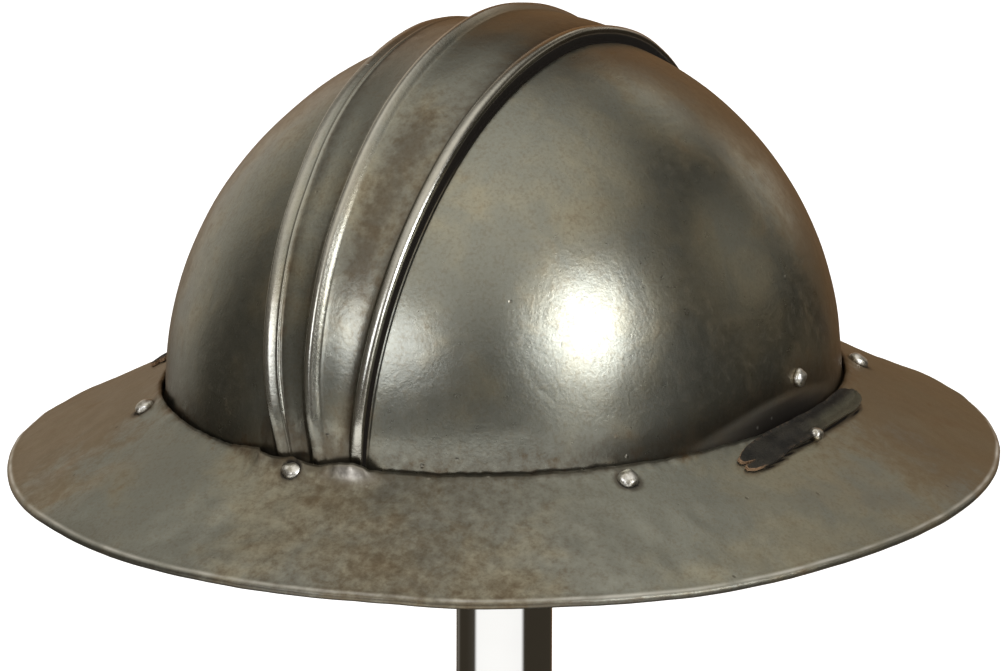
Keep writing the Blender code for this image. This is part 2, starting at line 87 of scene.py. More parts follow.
# Across the comb from the right (-Y) side to the left: the rib that a station goes by (0.5 is
# halfway to the next), its offset from it in mm, heights in mm at the foot and at the top, how
# worn bright it is with painted highlight, how grimy it is with painted shade in its creases
# (painted black above 0.8), and the number of columns from this station to the next
COMB_STATIONS = (
    {"rib": -1, "offset": -7.5, "foot": 0.0, "top": 0.0, "worn_and_highlight": 0.0, "grime_and_shade": 0.0, "columns": 5},
    {"rib": -1, "offset": -2.6, "foot": 0.0, "top": 0.0, "worn_and_highlight": 0.0, "grime_and_shade": 0.4, "columns": 4},
    {"rib": -1, "offset": -1.6, "foot": 2.3, "top": 3.1, "worn_and_highlight": 0.3, "grime_and_shade": 0.0, "columns": 4},
    {"rib": -1, "offset": -0.6, "foot": 3.3, "top": 4.6, "worn_and_highlight": 0.9, "grime_and_shade": 0.0, "columns": 5},
    {"rib": -1, "offset": 0.9, "foot": 3.1, "top": 4.5, "worn_and_highlight": 0.8, "grime_and_shade": 0.0, "columns": 5},
    {"rib": -1, "offset": 2.6, "foot": 2.3, "top": 4.0, "worn_and_highlight": 0.2, "grime_and_shade": 0.1, "columns": 4},
    {"rib": -1, "offset": 3.4, "foot": 2.1, "top": 3.75, "worn_and_highlight": 0.1, "grime_and_shade": 0.2, "columns": 4},
    # A thin painted highlight line along the right rib's inner edge
    {"rib": -1, "offset": 4.0, "foot": 2.1, "top": 3.8, "worn_and_highlight": 0.5, "grime_and_shade": 0.0, "columns": 4},
    {"rib": -1, "offset": 4.8, "foot": 1.1, "top": 3.4, "worn_and_highlight": 0.0, "grime_and_shade": 0.6, "columns": 6},
    {"rib": -0.5, "offset": 0.0, "foot": 0.9, "top": 3.4, "worn_and_highlight": 0.0, "grime_and_shade": 0.1, "columns": 6},
    {"rib": 0, "offset": -3.6, "foot": 1.1, "top": 4.4, "worn_and_highlight": 0.0, "grime_and_shade": 0.4, "columns": 5},
    {"rib": 0, "offset": -2.4, "foot": 2.7, "top": 6.1, "worn_and_highlight": 0.3, "grime_and_shade": 0.0, "columns": 5},
    {"rib": 0, "offset": -1.3, "foot": 3.7, "top": 7.3, "worn_and_highlight": 0.9, "grime_and_shade": 0.0, "columns": 5},
    {"rib": 0, "offset": 0.1, "foot": 3.8, "top": 7.6, "worn_and_highlight": 0.9, "grime_and_shade": 0.0, "columns": 5},
    {"rib": 0, "offset": 1.6, "foot": 2.7, "top": 6.7, "worn_and_highlight": 0.3, "grime_and_shade": 0.0, "columns": 6},
    {"rib": 0, "offset": 3.4, "foot": 1.3, "top": 5.3, "worn_and_highlight": 0.0, "grime_and_shade": 0.3, "columns": 6},
    {"rib": 0.5, "offset": 0.0, "foot": 1.2, "top": 4.5, "worn_and_highlight": 0.0, "grime_and_shade": 0.0, "columns": 6},
    {"rib": 1, "offset": -5.2, "foot": 1.2, "top": 3.7, "worn_and_highlight": 0.0, "grime_and_shade": 0.45, "columns": 6},
    {"rib": 1, "offset": -2.8, "foot": 1.7, "top": 3.7, "worn_and_highlight": 0.1, "grime_and_shade": 0.65, "columns": 5},
    {"rib": 1, "offset": -1.7, "foot": 3.0, "top": 4.5, "worn_and_highlight": 0.9, "grime_and_shade": 0.0, "columns": 5},
    {"rib": 1, "offset": 0.1, "foot": 3.5, "top": 5.0, "worn_and_highlight": 1.0, "grime_and_shade": 0.0, "columns": 5},
    {"rib": 1, "offset": 1.5, "foot": 2.8, "top": 4.2, "worn_and_highlight": 0.9, "grime_and_shade": 0.0, "columns": 4},
    # Painted black shade: the crease at the foot of the left rib's steep outer flank is painted near black
    {"rib": 1, "offset": 1.8, "foot": 1.4, "top": 2.2, "worn_and_highlight": 0.0, "grime_and_shade": 1.3, "columns": 4},
    {"rib": 1, "offset": 2.3, "foot": -0.2, "top": -0.2, "worn_and_highlight": 0.0, "grime_and_shade": 1.4, "columns": 4},
    {"rib": 1, "offset": 3.0, "foot": -0.2, "top": -0.3, "worn_and_highlight": 0.0, "grime_and_shade": 1.3, "columns": 4},
    {"rib": 1, "offset": 3.7, "foot": 0.0, "top": 0.0, "worn_and_highlight": 0.0, "grime_and_shade": 0.2, "columns": 4},
    {"rib": 1, "offset": 8.0, "foot": 0.0, "top": 0.0, "worn_and_highlight": 0.0, "grime_and_shade": 0.0, "columns": 0},
)
CROWN_ROWS = 190
SIDE_COLUMNS = 46
HALVINGS = 40

# The crown's foot: rings around its bend, and shares of its width where rings go round it
BEND_RINGS = 5
FOOT_SHARES = (0.4, 0.8, 0.98)

# The brim's section, from the seam over the rim and back, and how often it is set around the oval
BRIM_COLUMNS = 720
TOP_STEPS = 60
HEM_STEPS = 14
FLAP_STEPS = 5
UNDER_STEPS = 25

# The bright knob in the brim before the left rib: angle in degrees and distance from the seam
KNOB_ANGLE = 7.4
KNOB_HEIGHT = 2.2 * MM

# Rivets: angle around the oval in degrees, distance from the seam in mm
BRIM_RIVETS = {
    "front": (-3.4, 6.0),
    "right_front": (-49.8, 8.0),
    "right_rear": (-128.8, 7.6),
    "left_front": (50.9, 7.8),
    "left_rear": (128.8, 7.6),
    "rear": (180.0, 7.6),
    "left": (87.3, 10.7),
    "right": (-94.3, 10.7),
}
CROWN_RIVET_ANGLE = 91.0
CROWN_RIVET_RISE = 12.5 * MM
RIVET_SEAT = 0.3 * MM
RIVET_SHANK = 3.0 * MM
RIVET_TAIL = (2.5 * MM, 1.1 * MM)
RIVET_SIDES = 40
RIVET_DENT = 0.035

# Rivet heads: width and height
PLAIN_HEAD = (7.0 * MM, 2.6 * MM)
STRAP_HEAD = (4.6 * MM, 2.3 * MM)
CROWN_HEAD = (6.2 * MM, 2.2 * MM)

# Straps, and how many degrees each sits further back than the left one
SIDES = {"left": 1, "right": -1}
STRAP_TURN = {"left": 0.0, "right": 7.0}
STRAP_SEAT = 0.35 * MM
STRAP_THICKNESS = 1.1 * MM
STRAP_LENGTHS, STRAP_WIDTHS = 170, 26

# Edges of the left strap: angle around the oval in degrees, inner and outer edge in mm from the seam
STRAP_STATIONS = (
    {"angle": 70.0, "inner": 9.0, "outer": 14.4},
    {"angle": 71.5, "inner": 6.9, "outer": 15.3},
    {"angle": 74.0, "inner": 4.7, "outer": 14.9},
    {"angle": 76.5, "inner": 3.3, "outer": 13.9},
    {"angle": 81.4, "inner": 1.7, "outer": 11.5},
    {"angle": 88.0, "inner": 1.2, "outer": 10.5},
    {"angle": 93.0, "inner": 1.2, "outer": 9.7},
    {"angle": 98.0, "inner": 1.2, "outer": 9.9},
    {"angle": 103.0, "inner": 1.3, "outer": 10.6},
    {"angle": 105.5, "inner": 1.8, "outer": 10.2},
    {"angle": 107.4, "inner": 3.0, "outer": 8.9},
    {"angle": 108.4, "inner": 4.7, "outer": 7.2},
)

# The photograph's frame and the view of it
FRAME_WIDTH, FRAME_HEIGHT = 1004, 671
VIEW_ELEVATION = 0.257
VIEW_AZIMUTH = 0.5
VIEW_ROLL = 0.003
VIEW_DISTANCE = 2.91
PIXELS_PER_METRE = 3026.8
AXIS_PIXEL = (505.2, 284.28)
AXIS_POINT_RISE = 58.2 * MM
SENSOR = 36.0

# The room's light: the walls' dim colour, and soft lamps by their angles in degrees from the
# camera's side (right is plus) and above the floor, full within inner and gone at outer
ROOM_COLOR = (0.046, 0.038, 0.027)
ROOM_LAMPS = (
    {"azimuth": 45.5, "elevation": 26, "inner": 5.5, "outer": 15, "power": 10.5,
     "color": (0.96, 0.98, 1.03)},
    {"azimuth": 43, "elevation": 38, "inner": 2, "outer": 14, "power": 0.9, "color": (0.98, 0.98, 1.0)},
    {"azimuth": 42, "elevation": 7, "inner": 2, "outer": 14, "power": 1.8, "color": (1.0, 0.98, 0.95)},
    {"azimuth": -41, "elevation": 25, "inner": 2, "outer": 14, "power": 4.8, "color": (0.94, 0.96, 1.04)},
    {"azimuth": -24, "elevation": 26, "inner": 2, "outer": 13, "power": 2.8, "color": (0.94, 0.96, 1.04)},
    {"azimuth": -50, "elevation": 80, "inner": 12, "outer": 62, "power": 0.86, "color": (1.0, 0.97, 0.92)},
    {"azimuth": -25, "elevation": 40, "inner": 30, "outer": 95, "power": 0.09, "color": (1.0, 0.96, 0.88)},
    {"azimuth": 112, "elevation": 18, "inner": 1, "outer": 17, "power": 0.36, "color": (1.0, 0.94, 0.84)},
    {"azimuth": 144, "elevation": 10, "inner": 1, "outer": 11, "power": 0.75, "color": (1.0, 0.95, 0.86)},
    {"azimuth": 149, "elevation": 32, "inner": 1, "outer": 13, "power": 0.75, "color": (1.0, 0.95, 0.86)},
    {"azimuth": -147, "elevation": 10, "inner": 5, "outer": 32, "power": 0.56, "color": (1.0, 0.94, 0.84)},
    {"azimuth": 174, "elevation": 6, "inner": 8, "outer": 36, "power": 0.19, "color": (1.0, 0.44, 0.11)},
    {"azimuth": -14, "elevation": -25, "inner": 50, "outer": 60, "power": 1.3,
     "color": (1.0, 1.0, 1.0), "floor": True},
)


class Term:
    """A number that varies over a surface: a socket whose arithmetic adds Math nodes."""

    def __init__(self, nodes, socket):
        self.nodes = nodes
        self.socket = socket

    def math(self, operation, *values, clamp=False):
        inputs = dict(enumerate(values))
        return self.nodes.add("Math", {"operation": operation, "use_clamp": clamp}, inputs)

    def __add__(self, other):
        return self.math("ADD", self, other)

    def __radd__(self, other):
        return self.math("ADD", other, self)

    def __sub__(self, other):
        return self.math("SUBTRACT", self, other)

    def __rsub__(self, other):
        return self.math("SUBTRACT", other, self)

    def __mul__(self, other):
        return self.math("MULTIPLY", self, other)

    def __rmul__(self, other):
        return self.math("MULTIPLY", other, self)

    def clamp(self):
        return self.math("ADD", self, 0.0, clamp=True)

    def over(self, low, high):
        """0 below low, 1 above high, and a smooth step between."""
        settings = {"interpolation_type": "SMOOTHSTEP"}
        return self.nodes.add("MapRange", settings, {"Value": self, "From Min": low, "From Max": high})


class Nodes:
    """A node tree, and one method that adds any node to it."""

    def __init__(self, tree):
        self.tree = tree
        self.place = self.add("TexCoord", output="Object")

    def feed(self, node, inputs):
        for key, value in inputs.items():
            socket = node.inputs[key.replace("_", " ") if isinstance(key, str) else key]
            if isinstance(value, Term):
                self.tree.links.new(value.socket, socket)
            else:
                socket.default_value = value

    def add(self, kind, settings=None, inputs=None, output=0):
        node = self.tree.nodes.new("ShaderNode" + kind)
        for key, value in (settings or {}).items():
            setattr(node, key, value)
        self.feed(node, inputs or {})
        return Term(self, node.outputs[output])

    def attribute(self, name):
        return self.add("Attribute", {"attribute_name": name}, output="Fac")

    def noise(self, scale, detail, roughness=0.55, distortion=0.0):
        inputs = {"Vector": self.place, "Scale": scale, "Detail": detail, "Roughness": roughness}
        inputs["Distortion"] = distortion
        return self.add("TexNoise", None, inputs, "Fac")

    def cells(self, scale, feature="F1"):
        """Distance from the nearest of scattered points, and a number drawn for that point."""
        inputs = {"Vector": self.place, "Scale": scale}
        distance = self.add("TexVoronoi", {"feature": feature}, inputs, "Distance")
        if feature != "F1":
            return distance, None
        return distance, Term(self, distance.socket.node.outputs["Color"])

    def mix(self, factor, first, second, blend="MIX"):
        inputs = {0: factor, 6: first, 7: second}
        for index in (6, 7):
            if isinstance(inputs[index], tuple):
                inputs[index] = (*inputs[index], 1.0)
        return self.add("Mix", {"data_type": "RGBA", "blend_type": blend}, inputs, 2)

    def bump(self, height, distance, before=None):
        inputs = {"Height": height, "Strength": 1.0, "Distance": distance}
        if before is not None:
            inputs["Normal"] = before
        return self.add("Bump", None, inputs)


class Finish(Nodes):
    """One material: the nodes around its shader."""

    def __init__(self, name, **fixed):
        self.material = bpy.data.materials.new(name)
        self.material.use_nodes = True
        super().__init__(self.material.node_tree)
        self.shader = self.tree.nodes["Principled BSDF"]
        self.feed(self.shader, fixed)

    def wear(self, **varying):
        """Link what varies over the surface to the shader, and hand over the material."""
        self.feed(self.shader, varying)
        return self.material


# Surfaces worked out as whole arrays


def ripple(points, wavelength, seed, waves=28):
    """A smooth random field of unit spread: cosine waves of about one length in random directions."""
    chance = np.random.default_rng(seed)
    directions = chance.normal(size=(waves, 3))
    directions /= np.linalg.norm(directions, axis=1, keepdims=True)
    numbers = 2 * math.pi / wavelength * chance.uniform(0.65, 1.35, size=(waves, 1))
    phases = chance.uniform(0, 2 * math.pi, size=waves)
    return np.cos(points @ (directions * numbers).T + phases).sum(axis=-1) * math.sqrt(2 / waves)


def smooth(value, low, high):
    """0 below low, 1 above high, and 3 t^2 - 2 t^3 between."""
    step = np.clip((value - low) / (high - low), 0, 1)
    return step * step * (3 - 2 * step)


def bell(value, middle, width):
    """1 in the middle, falling as a Gaussian of the given width."""
    return np.exp(-((value - middle) / width) ** 2)


def section(angle):
    """Start, outward direction, slope and length of the brim's top line at each angle."""
    around = np.stack([np.cos(angle), np.sin(angle)], axis=-1)
    start = around * CROWN_AXES[:2]
    hem = around * np.array(HEM_AXES)
    run = np.linalg.norm(hem - start, axis=-1)
    chord = np.hypot(run, BRIM_DROP)
    slope = np.arctan2(BRIM_DROP, run) - np.arcsin(HEM_RADIUS / chord)
    return start, (hem - start) / run[..., None], slope, np.sqrt(chord ** 2 - HEM_RADIUS ** 2)


def in_plane(angle, out, height):
    """Points that lie out from the seam and height above it, each in its angle's upright plane."""
    start, direction, _, _ = section(angle)
    plan = start + out[..., None] * direction
    return np.concatenate([plan, (SEAM_HEIGHT + height)[..., None]], axis=-1)


def on_slope(angle, along, above):
    """Points along the brim's slope and above its top line."""
    angle, along, above = np.broadcast_arrays(angle, along, above)
    slope = section(angle)[2]
    out = along * np.cos(slope) + above * np.sin(slope)
    return in_plane(angle, out, above * np.cos(slope) - along * np.sin(slope))


def slope_normal(angle):
    """The brim's upward normal at an angle."""
    _, direction, slope, _ = section(np.asarray(angle))
    return np.array([*(np.sin(slope) * direction), np.cos(slope)])


def shade_smooth(mesh):
    """Every face of the mesh shaded smooth."""
    mesh.polygons.foreach_set("use_smooth", np.ones(len(mesh.polygons), dtype=bool))


def mesh_from(name, points, faces, attributes):
    """A mesh of points and faces given as whole arrays, with one value a point for each attribute."""
    mesh = bpy.data.meshes.new(name)
    mesh.vertices.add(len(points))
    mesh.vertices.foreach_set("co", points.astype(np.float32).ravel())
    sides = faces.shape[1]
    mesh.loops.add(faces.size)
    mesh.loops.foreach_set("vertex_index", faces.ravel().astype(np.int32))
    mesh.polygons.add(len(faces))
    mesh.polygons.foreach_set("loop_start", np.arange(0, faces.size, sides, dtype=np.int32))
    shade_smooth(mesh)
    mesh.update(calc_edges=True)
    mesh.validate()
    for key, values in attributes.items():
        layer = mesh.attributes.new(key, "FLOAT", "POINT")
        layer.data.foreach_set("value", np.asarray(values, dtype=np.float32).ravel())
    return mesh


def grid_faces(index, close_rows=False, close_columns=False):
    """The quads of a grid of point numbers; a closed direction joins its last line to its first."""
    if close_rows:
        index = np.concatenate([index, index[:1]], axis=0)
    if close_columns:
        index = np.concatenate([index, index[:, :1]], axis=1)
    corners = (index[:-1, :-1], index[1:, :-1], index[1:, 1:], index[:-1, 1:])
    return np.stack(corners, axis=-1).reshape(-1, 4)


def add_piece(name, mesh, material, slot, *nodes):
    """Put a finished mesh in the scene on the one body, in place of solids of the frame."""
    piece = bpy.data.objects.new(name, mesh)
    bpy.context.scene.collection.objects.link(piece)
    mesh.materials.append(material)
    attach(piece, "root")
    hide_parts(*nodes)
    return piece


# Crown


def disc(u, v):
    """Map the square -1..1 to the unit disc: its radius, and its direction's cosine and sine."""
    x = u * np.sqrt(1 - v ** 2 / 2)
    y = v * np.sqrt(1 - u ** 2 / 2)
    radius = np.hypot(x, y)
    safe = np.where(radius > 0, radius, 1)
    return radius, np.where(radius > 0, x / safe, 1), y / safe


def find_column(u, target):
    """The grid's v at which each row crosses its sideways places target, by halving."""
    low = np.full_like(target, -1.0)
    high = np.full_like(target, 1.0)
    for _ in range(HALVINGS):
        middle = (low + high) / 2
        radius, _, sine = disc(u, middle)
        under = CROWN_AXES[1] * np.sin(radius * math.pi / 2) * sine < target
        low = np.where(under, middle, low)
        high = np.where(under, high, middle)
    return (low + high) / 2


def station_slopes(places, heights):
    """Slopes at the stations for a curve without overshoot: harmonic means, 0 where it turns."""
    gaps = np.diff(places, axis=1)
    rises = np.diff(heights, axis=1) / gaps
    before, after = rises[:, :-1], rises[:, 1:]
    same = before * after > 0
    safe = np.where(same, before + after, 1)
    inner = np.where(same, 2 * before * after / safe, 0)
    edge = np.zeros_like(inner[:, :1])
    return np.concatenate([edge, inner, edge], axis=1)


def hermite(places, values, cell, part):
    """A smooth curve through the stations: the cubic of each cell from its end values and slopes."""
    slopes = station_slopes(places, values)
    width = places[:, cell + 1] - places[:, cell]
    return (
        values[:, cell] * (1 + 2 * part) * (1 - part) ** 2
        + values[:, cell + 1] * part ** 2 * (3 - 2 * part)
        + width * slopes[:, cell] * part * (1 - part) ** 2
        + width * slopes[:, cell + 1] * part ** 2 * (part - 1)
    )


def between(values, cell, part):
    """The values of the stations, carried along straight lines to the columns between them."""
    return values[..., cell] + (values[..., cell + 1] - values[..., cell]) * part


def comb_profile(rise):
    """Sideways places, heights, wear and grime of the comb's columns on each row.

    A row's rise is 0 at the foot and 1 at the top. Each station goes along a straight line from
    its place at the foot to that at the top, and bows aside on the way. Heights follow cubic
    Hermite curves between the stations and everything else straight lines. The ribs are lower and
    less worn, with less painted highlight, near the foot. The channel beside the left rib is darker
    in the middle of its height, and the painted black shade beyond that rib is narrow below and wide over
    the top.
    """
    table = {key: np.array([row[key] for row in COMB_STATIONS]) for key in COMB_STATIONS[0]}
    foot = np.interp(table["rib"], RIBS, RIBS_FOOT) + table["offset"]
    top = np.interp(table["rib"], RIBS, RIBS_TOP) + table["offset"]
    bow = np.interp(table["rib"], RIBS, RIBS_BOW)
    bow = bow * smooth(rise, 0.0, 0.28) * (1 - smooth(rise, 0.38, 1.05))
    places = (foot + (top - foot) * rise + bow) * MM
    heights = (table["foot"] + (table["top"] - table["foot"]) * rise) * MM
    heights = heights * (0.45 + 0.55 * smooth(rise, 0.0, 0.14))
    cell = np.concatenate([np.full(count, i) for i, count in enumerate(table["columns"])])
    part = np.concatenate([np.arange(count) / count for count in table["columns"] if count])
    cell, part = np.append(cell, len(COMB_STATIONS) - 2), np.append(part, 1.0)
    across = between(places, cell, part)
    height = hermite(places, heights, cell, part)
    worn_and_highlight, grime_and_shade, rib, offset = (
        between(table[key], cell, part) for key in ("worn_and_highlight", "grime_and_shade", "rib", "offset")
    )
    inner_ribs = rib < 0.6
    worn_and_highlight = worn_and_highlight * np.where(inner_ribs, 0.15 + 0.85 * smooth(rise, 0.08, 0.26), 1)
    grime_and_shade = grime_and_shade + inner_ribs * 0.20 * (1 - smooth(rise, 0.04, 0.22))
    channel = 0.80 * bell(rib, 0.5, 0.34) * smooth(rise, 0.30, 0.55)
    grime_and_shade = grime_and_shade + channel * (1 - 0.9 * smooth(rise, 0.80, 0.97))
    beyond = (rib == 1) & (offset > 2.6)
    grime_and_shade = grime_and_shade * np.where(beyond, 0.2 + 0.8 * smooth(rise, 0.45, 0.98), 1)
    return across, height, worn_and_highlight, grime_and_shade


def dome_points(radius, cosine, sine, height):
    """Points of the crown's half ellipsoid, raised along its normal by height."""
    polar = radius * math.pi / 2
    unit = np.stack([np.sin(polar) * cosine, np.sin(polar) * sine, np.cos(polar)], axis=-1)
    normal = unit / CROWN_AXES
    normal /= np.linalg.norm(normal, axis=-1, keepdims=True)
    return unit * CROWN_AXES + normal * height[..., None] + np.array([0, 0, SEAM_HEIGHT])


def crown_grid():
    """The crown's rows and columns: u, v, height above the plain bowl, wear and grime."""
    u = np.linspace(-1, 1, CROWN_ROWS + 1)[:, None]
    rise = np.cos(u * math.pi / 2)
    across, *comb_values = comb_profile(rise)
    comb = find_column(np.broadcast_to(u, across.shape), across)
    steps = np.arange(1, SIDE_COLUMNS + 1) / SIDE_COLUMNS
    left = comb[:, -1:] + (1 - comb[:, -1:]) * steps
    right = comb[:, :1] + (-1 - comb[:, :1]) * steps[::-1]
    v = np.concatenate([right, comb, left], axis=1)
    plain = np.zeros((CROWN_ROWS + 1, SIDE_COLUMNS))
    height, worn_and_highlight, grime_and_shade = (
        np.concatenate([plain, np.broadcast_to(values, across.shape), plain], axis=1)
        for values in comb_values
    )
    return np.broadcast_to(u, v.shape), v, height, worn_and_highlight, grime_and_shade


def far_side(points):
    """0 on the side that the photograph shows, growing to 1 around the sides and at the back, where brown
    patina and a painted warm reflection lie.
    """
    way = points - np.array([0, 0, SEAM_HEIGHT])
    way /= np.linalg.norm(way, axis=-1, keepdims=True)
    toward = way @ np.array([math.cos(VIEW_AZIMUTH), math.sin(VIEW_AZIMUTH), math.sin(VIEW_ELEVATION)])
    return 1 - smooth(toward, -0.15, 0.72)


def hammering(points):
    """The raised bowl's unevenness: broad soft waves and smaller hammer flats."""
    broad = 0.16 * MM * ripple(points, 70 * MM, 3)
    small = 0.05 * MM * ripple(points, 24 * MM, 4)
    return broad + small


def foot_rings(angle, rise):
    """The turned-out foot from the seam down: bend, slope under the brim, edge, and back inside."""
    slope = section(angle)[2]
    depth = (PLATE + PLATE_GAP) / np.cos(slope)
    turn = math.pi / 2 - slope
    level = -rise * np.tan(slope) - depth
    start = level + FOOT_BEND * np.tan(turn / 2)
    rings = []
    for radius, sign in ((FOOT_BEND, 1), (FOOT_BEND + PLATE, -1)):
        side = []
        for step in np.linspace(0, 1, BEND_RINGS):
            around = math.pi + turn * step
            out = rise + FOOT_BEND + radius * np.cos(around)
            side.append(in_plane(angle, out, start + radius * np.sin(around)))
        under = 0 if sign > 0 else PLATE
        for share in FOOT_SHARES:
            out = rise + (FOOT_BEND + (FOOT_WIDTH - FOOT_BEND) * share) * np.cos(slope)
            line = -out * np.tan(slope) - depth - under / np.cos(slope)
            side.append(in_plane(angle, out, line))
        if sign > 0:
            out = rise + FOOT_WIDTH * np.cos(slope)
            side.append(in_plane(angle, out, -out * np.tan(slope) - depth - under / 2))
        else:
            side = side[::-1]
        rings += side
    return rings


def make_crown(material):
    """The bowl: outer grid, rings around its foot, and the inner grid, as one closed skin.

    The outer grid is the half ellipsoid raised along its normals by the comb's heights and the
    hammering, and the inner grid is the same, lower by the plate. The foot is darker, and painted shade
    lies above the straps.
    """
    u, v, height, worn_and_highlight, grime_and_shade = crown_grid()
    radius, cosine, sine = disc(u, v)
    plain = dome_points(radius, cosine, sine, np.zeros_like(height))
    dents = hammering(plain) * smooth(plain[..., 2] - SEAM_HEIGHT, 1 * MM, 12 * MM)
    outer = dome_points(radius, cosine, sine, height + dents)
    inner = dome_points(radius, cosine, sine, height + dents - PLATE)
    rows, columns = height.shape
    index = np.arange(rows * columns).reshape(rows, columns)
    loop = np.concatenate([index[0, :-1], index[:-1, -1], index[-1, :0:-1], index[:0:-1, 0]])
    angle = np.arctan2(sine, cosine).ravel()[loop]
    rise = height.ravel()[loop]
    rings = foot_rings(angle, rise)
    ring_index = [loop]
    points = [outer.reshape(-1, 3)]
    total = rows * columns
    for ring in rings:
        points.append(ring)
        ring_index.append(total + np.arange(len(loop)))
        total += len(loop)
    points.append(inner.reshape(-1, 3))
    inner_index = total + index
    ring_index.append(total + loop)
    bands = grid_faces(np.array(ring_index), close_columns=True)
    faces = np.concatenate([grid_faces(index), bands[:, ::-1], grid_faces(inner_index)[:, ::-1]])
    points = np.concatenate(points)
    spare = np.zeros(len(points) - 2 * rows * columns)
    up = points[:, 2] - SEAM_HEIGHT
    sideways = np.abs(np.degrees(np.arctan2(points[:, 1], points[:, 0])))
    # Darker toward the foot; above the straps, painted shade for the dark gap by the leather
    foot_dark_and_strap_shade = 0.66 * (1 - smooth(up, -4 * MM, 21 * MM))
    foot_dark_and_strap_shade += 0.90 * bell(sideways, 86, 24) * (1 - smooth(up, -8 * MM, 36 * MM))
    comb_grime_and_shade = np.concatenate([grime_and_shade.ravel(), spare, grime_and_shade.ravel()])
    # Above the straps the cap lets the painted shade pass 0.8, where it is painted black
    most = 0.84 + 0.30 * bell(sideways, 86, 24)
    attributes = {
        "worn_and_highlight": np.concatenate([worn_and_highlight.ravel(), spare, 0 * worn_and_highlight.ravel()]),
        "grime_and_shade": np.maximum(comb_grime_and_shade, np.minimum(comb_grime_and_shade + foot_dark_and_strap_shade, most)),
        "seam": 1 - smooth(up, 0, 14 * MM),
        # Brown patina and painted warm reflection toward the edges turned away from the camera
        "patina_and_reflection": far_side(points),
    }
    mesh = mesh_from("crown_shell", points, faces, attributes)
    return add_piece("crown_shell", mesh, material, "hat_steel", "crown")


# Brim


def brim_profile(length, start):
    """Closed outline of the brim's section, as places along and above the slope's top line.

    It runs from the start along the top, denser toward the rim, around the hem's half circle,
    back under the flap, over the flap's edge and out again, and back along the plate's underside.
    """
    inner = -HEM_HEIGHT + HEM_FLAP
    end = length - HEM_TURN
    shares = 1 - np.linspace(1, 0, TOP_STEPS + 1)[:-1] ** 1.5
    line = [(start + (length - start) * t, 0.0) for t in shares]
    for turn in np.linspace(0, math.pi, HEM_STEPS + 1):
        line.append((length + HEM_RADIUS * math.sin(turn), HEM_RADIUS * (math.cos(turn) - 1)))
    line += [(length - HEM_TURN * t, -HEM_HEIGHT) for t in np.linspace(0, 1, FLAP_STEPS + 1)[1:]]
    line += [(end - 0.35 * PLATE, -HEM_HEIGHT + HEM_FLAP / 2), (end, inner)]
    line += [(length - HEM_TURN / 2, inner), (length, inner)]
    line += [(start + (length - start) * t, -PLATE) for t in np.linspace(1, 0, UNDER_STEPS + 1)]
    along, above = zip(*line)
    return np.stack(along, axis=-1), np.broadcast_to(above, (len(length), len(above)))


def foot_rise(angle):
    """Height of the ribs' feet around the oval, so that the brim's edge follows them."""
    u, v, height, _, _ = crown_grid()
    edge = np.ones_like(u, dtype=bool)
    edge[1:-1, 1:-1] = False
    _, cosine, sine = disc(u[edge], v[edge])
    known = np.arctan2(sine, cosine)
    order = np.argsort(known)
    return np.interp(angle, known[order], height[edge][order], period=2 * math.pi)


def seam_lip(degrees):
    """How far the brim's inner edge is hammered up against the crown: more over the ribs' feet."""
    over_feet = smooth(degrees, -20, -10) * (1 - smooth(degrees, 7, 12))
    return (0.7 + 2.1 * over_feet + 1.2 * bell(degrees, -46, 9)) * MM


def brim_sag(degrees):
    """The brim's uneven rim, in mm: where it hangs lower or stands higher than the true oval."""
    rim = -2.2 * bell(degrees, 52, 17) + 1.4 * bell(degrees, 150, 14) - 1.1 * bell(degrees, -101, 7)
    return rim - 1.0 * bell(degrees, 28, 9) - 0.9 * bell(degrees, -52, 12) + 0.8 * bell(degrees, -32, 8)


def strap_shadow(degrees, along):
    """Painted shadow on the brim along the straps' outer edges: a bell across the edge's line."""
    table = {key: np.array([row[key] for row in STRAP_STATIONS]) for key in ("angle", "outer")}
    first, last = table["angle"][[0, -1]]
    shadow = np.zeros_like(along)
    for name, side in SIDES.items():
        place = side * degrees - STRAP_TURN[name]
        edge = np.interp(place, table["angle"], table["outer"])
        ends = smooth(place, first, first + 5) * (1 - smooth(place, last - 2, last + 1))
        shadow = np.maximum(shadow, 1.4 * ends * bell(along / MM, edge + 0.2, 1.1))
    return shadow


def rivet_shadow_rings(flat):
    """Painted shadow: 1 at the rivets of the brim that go through no strap, falling to 0 a little way
    around them.
    """
    ring = np.zeros(flat.shape[:-1])
    for name, (degrees, place) in BRIM_RIVETS.items():
        if name in STRAP_TURN:
            continue
        # The painted shadow's centre sits a little outward of the rivet
        center = on_slope(np.radians(degrees), np.array((place + 0.7) * MM), np.array(0.0))
        ring = np.maximum(ring, 1 - smooth(np.linalg.norm(flat - center, axis=-1), 3.0 * MM, 6.5 * MM))
    return ring


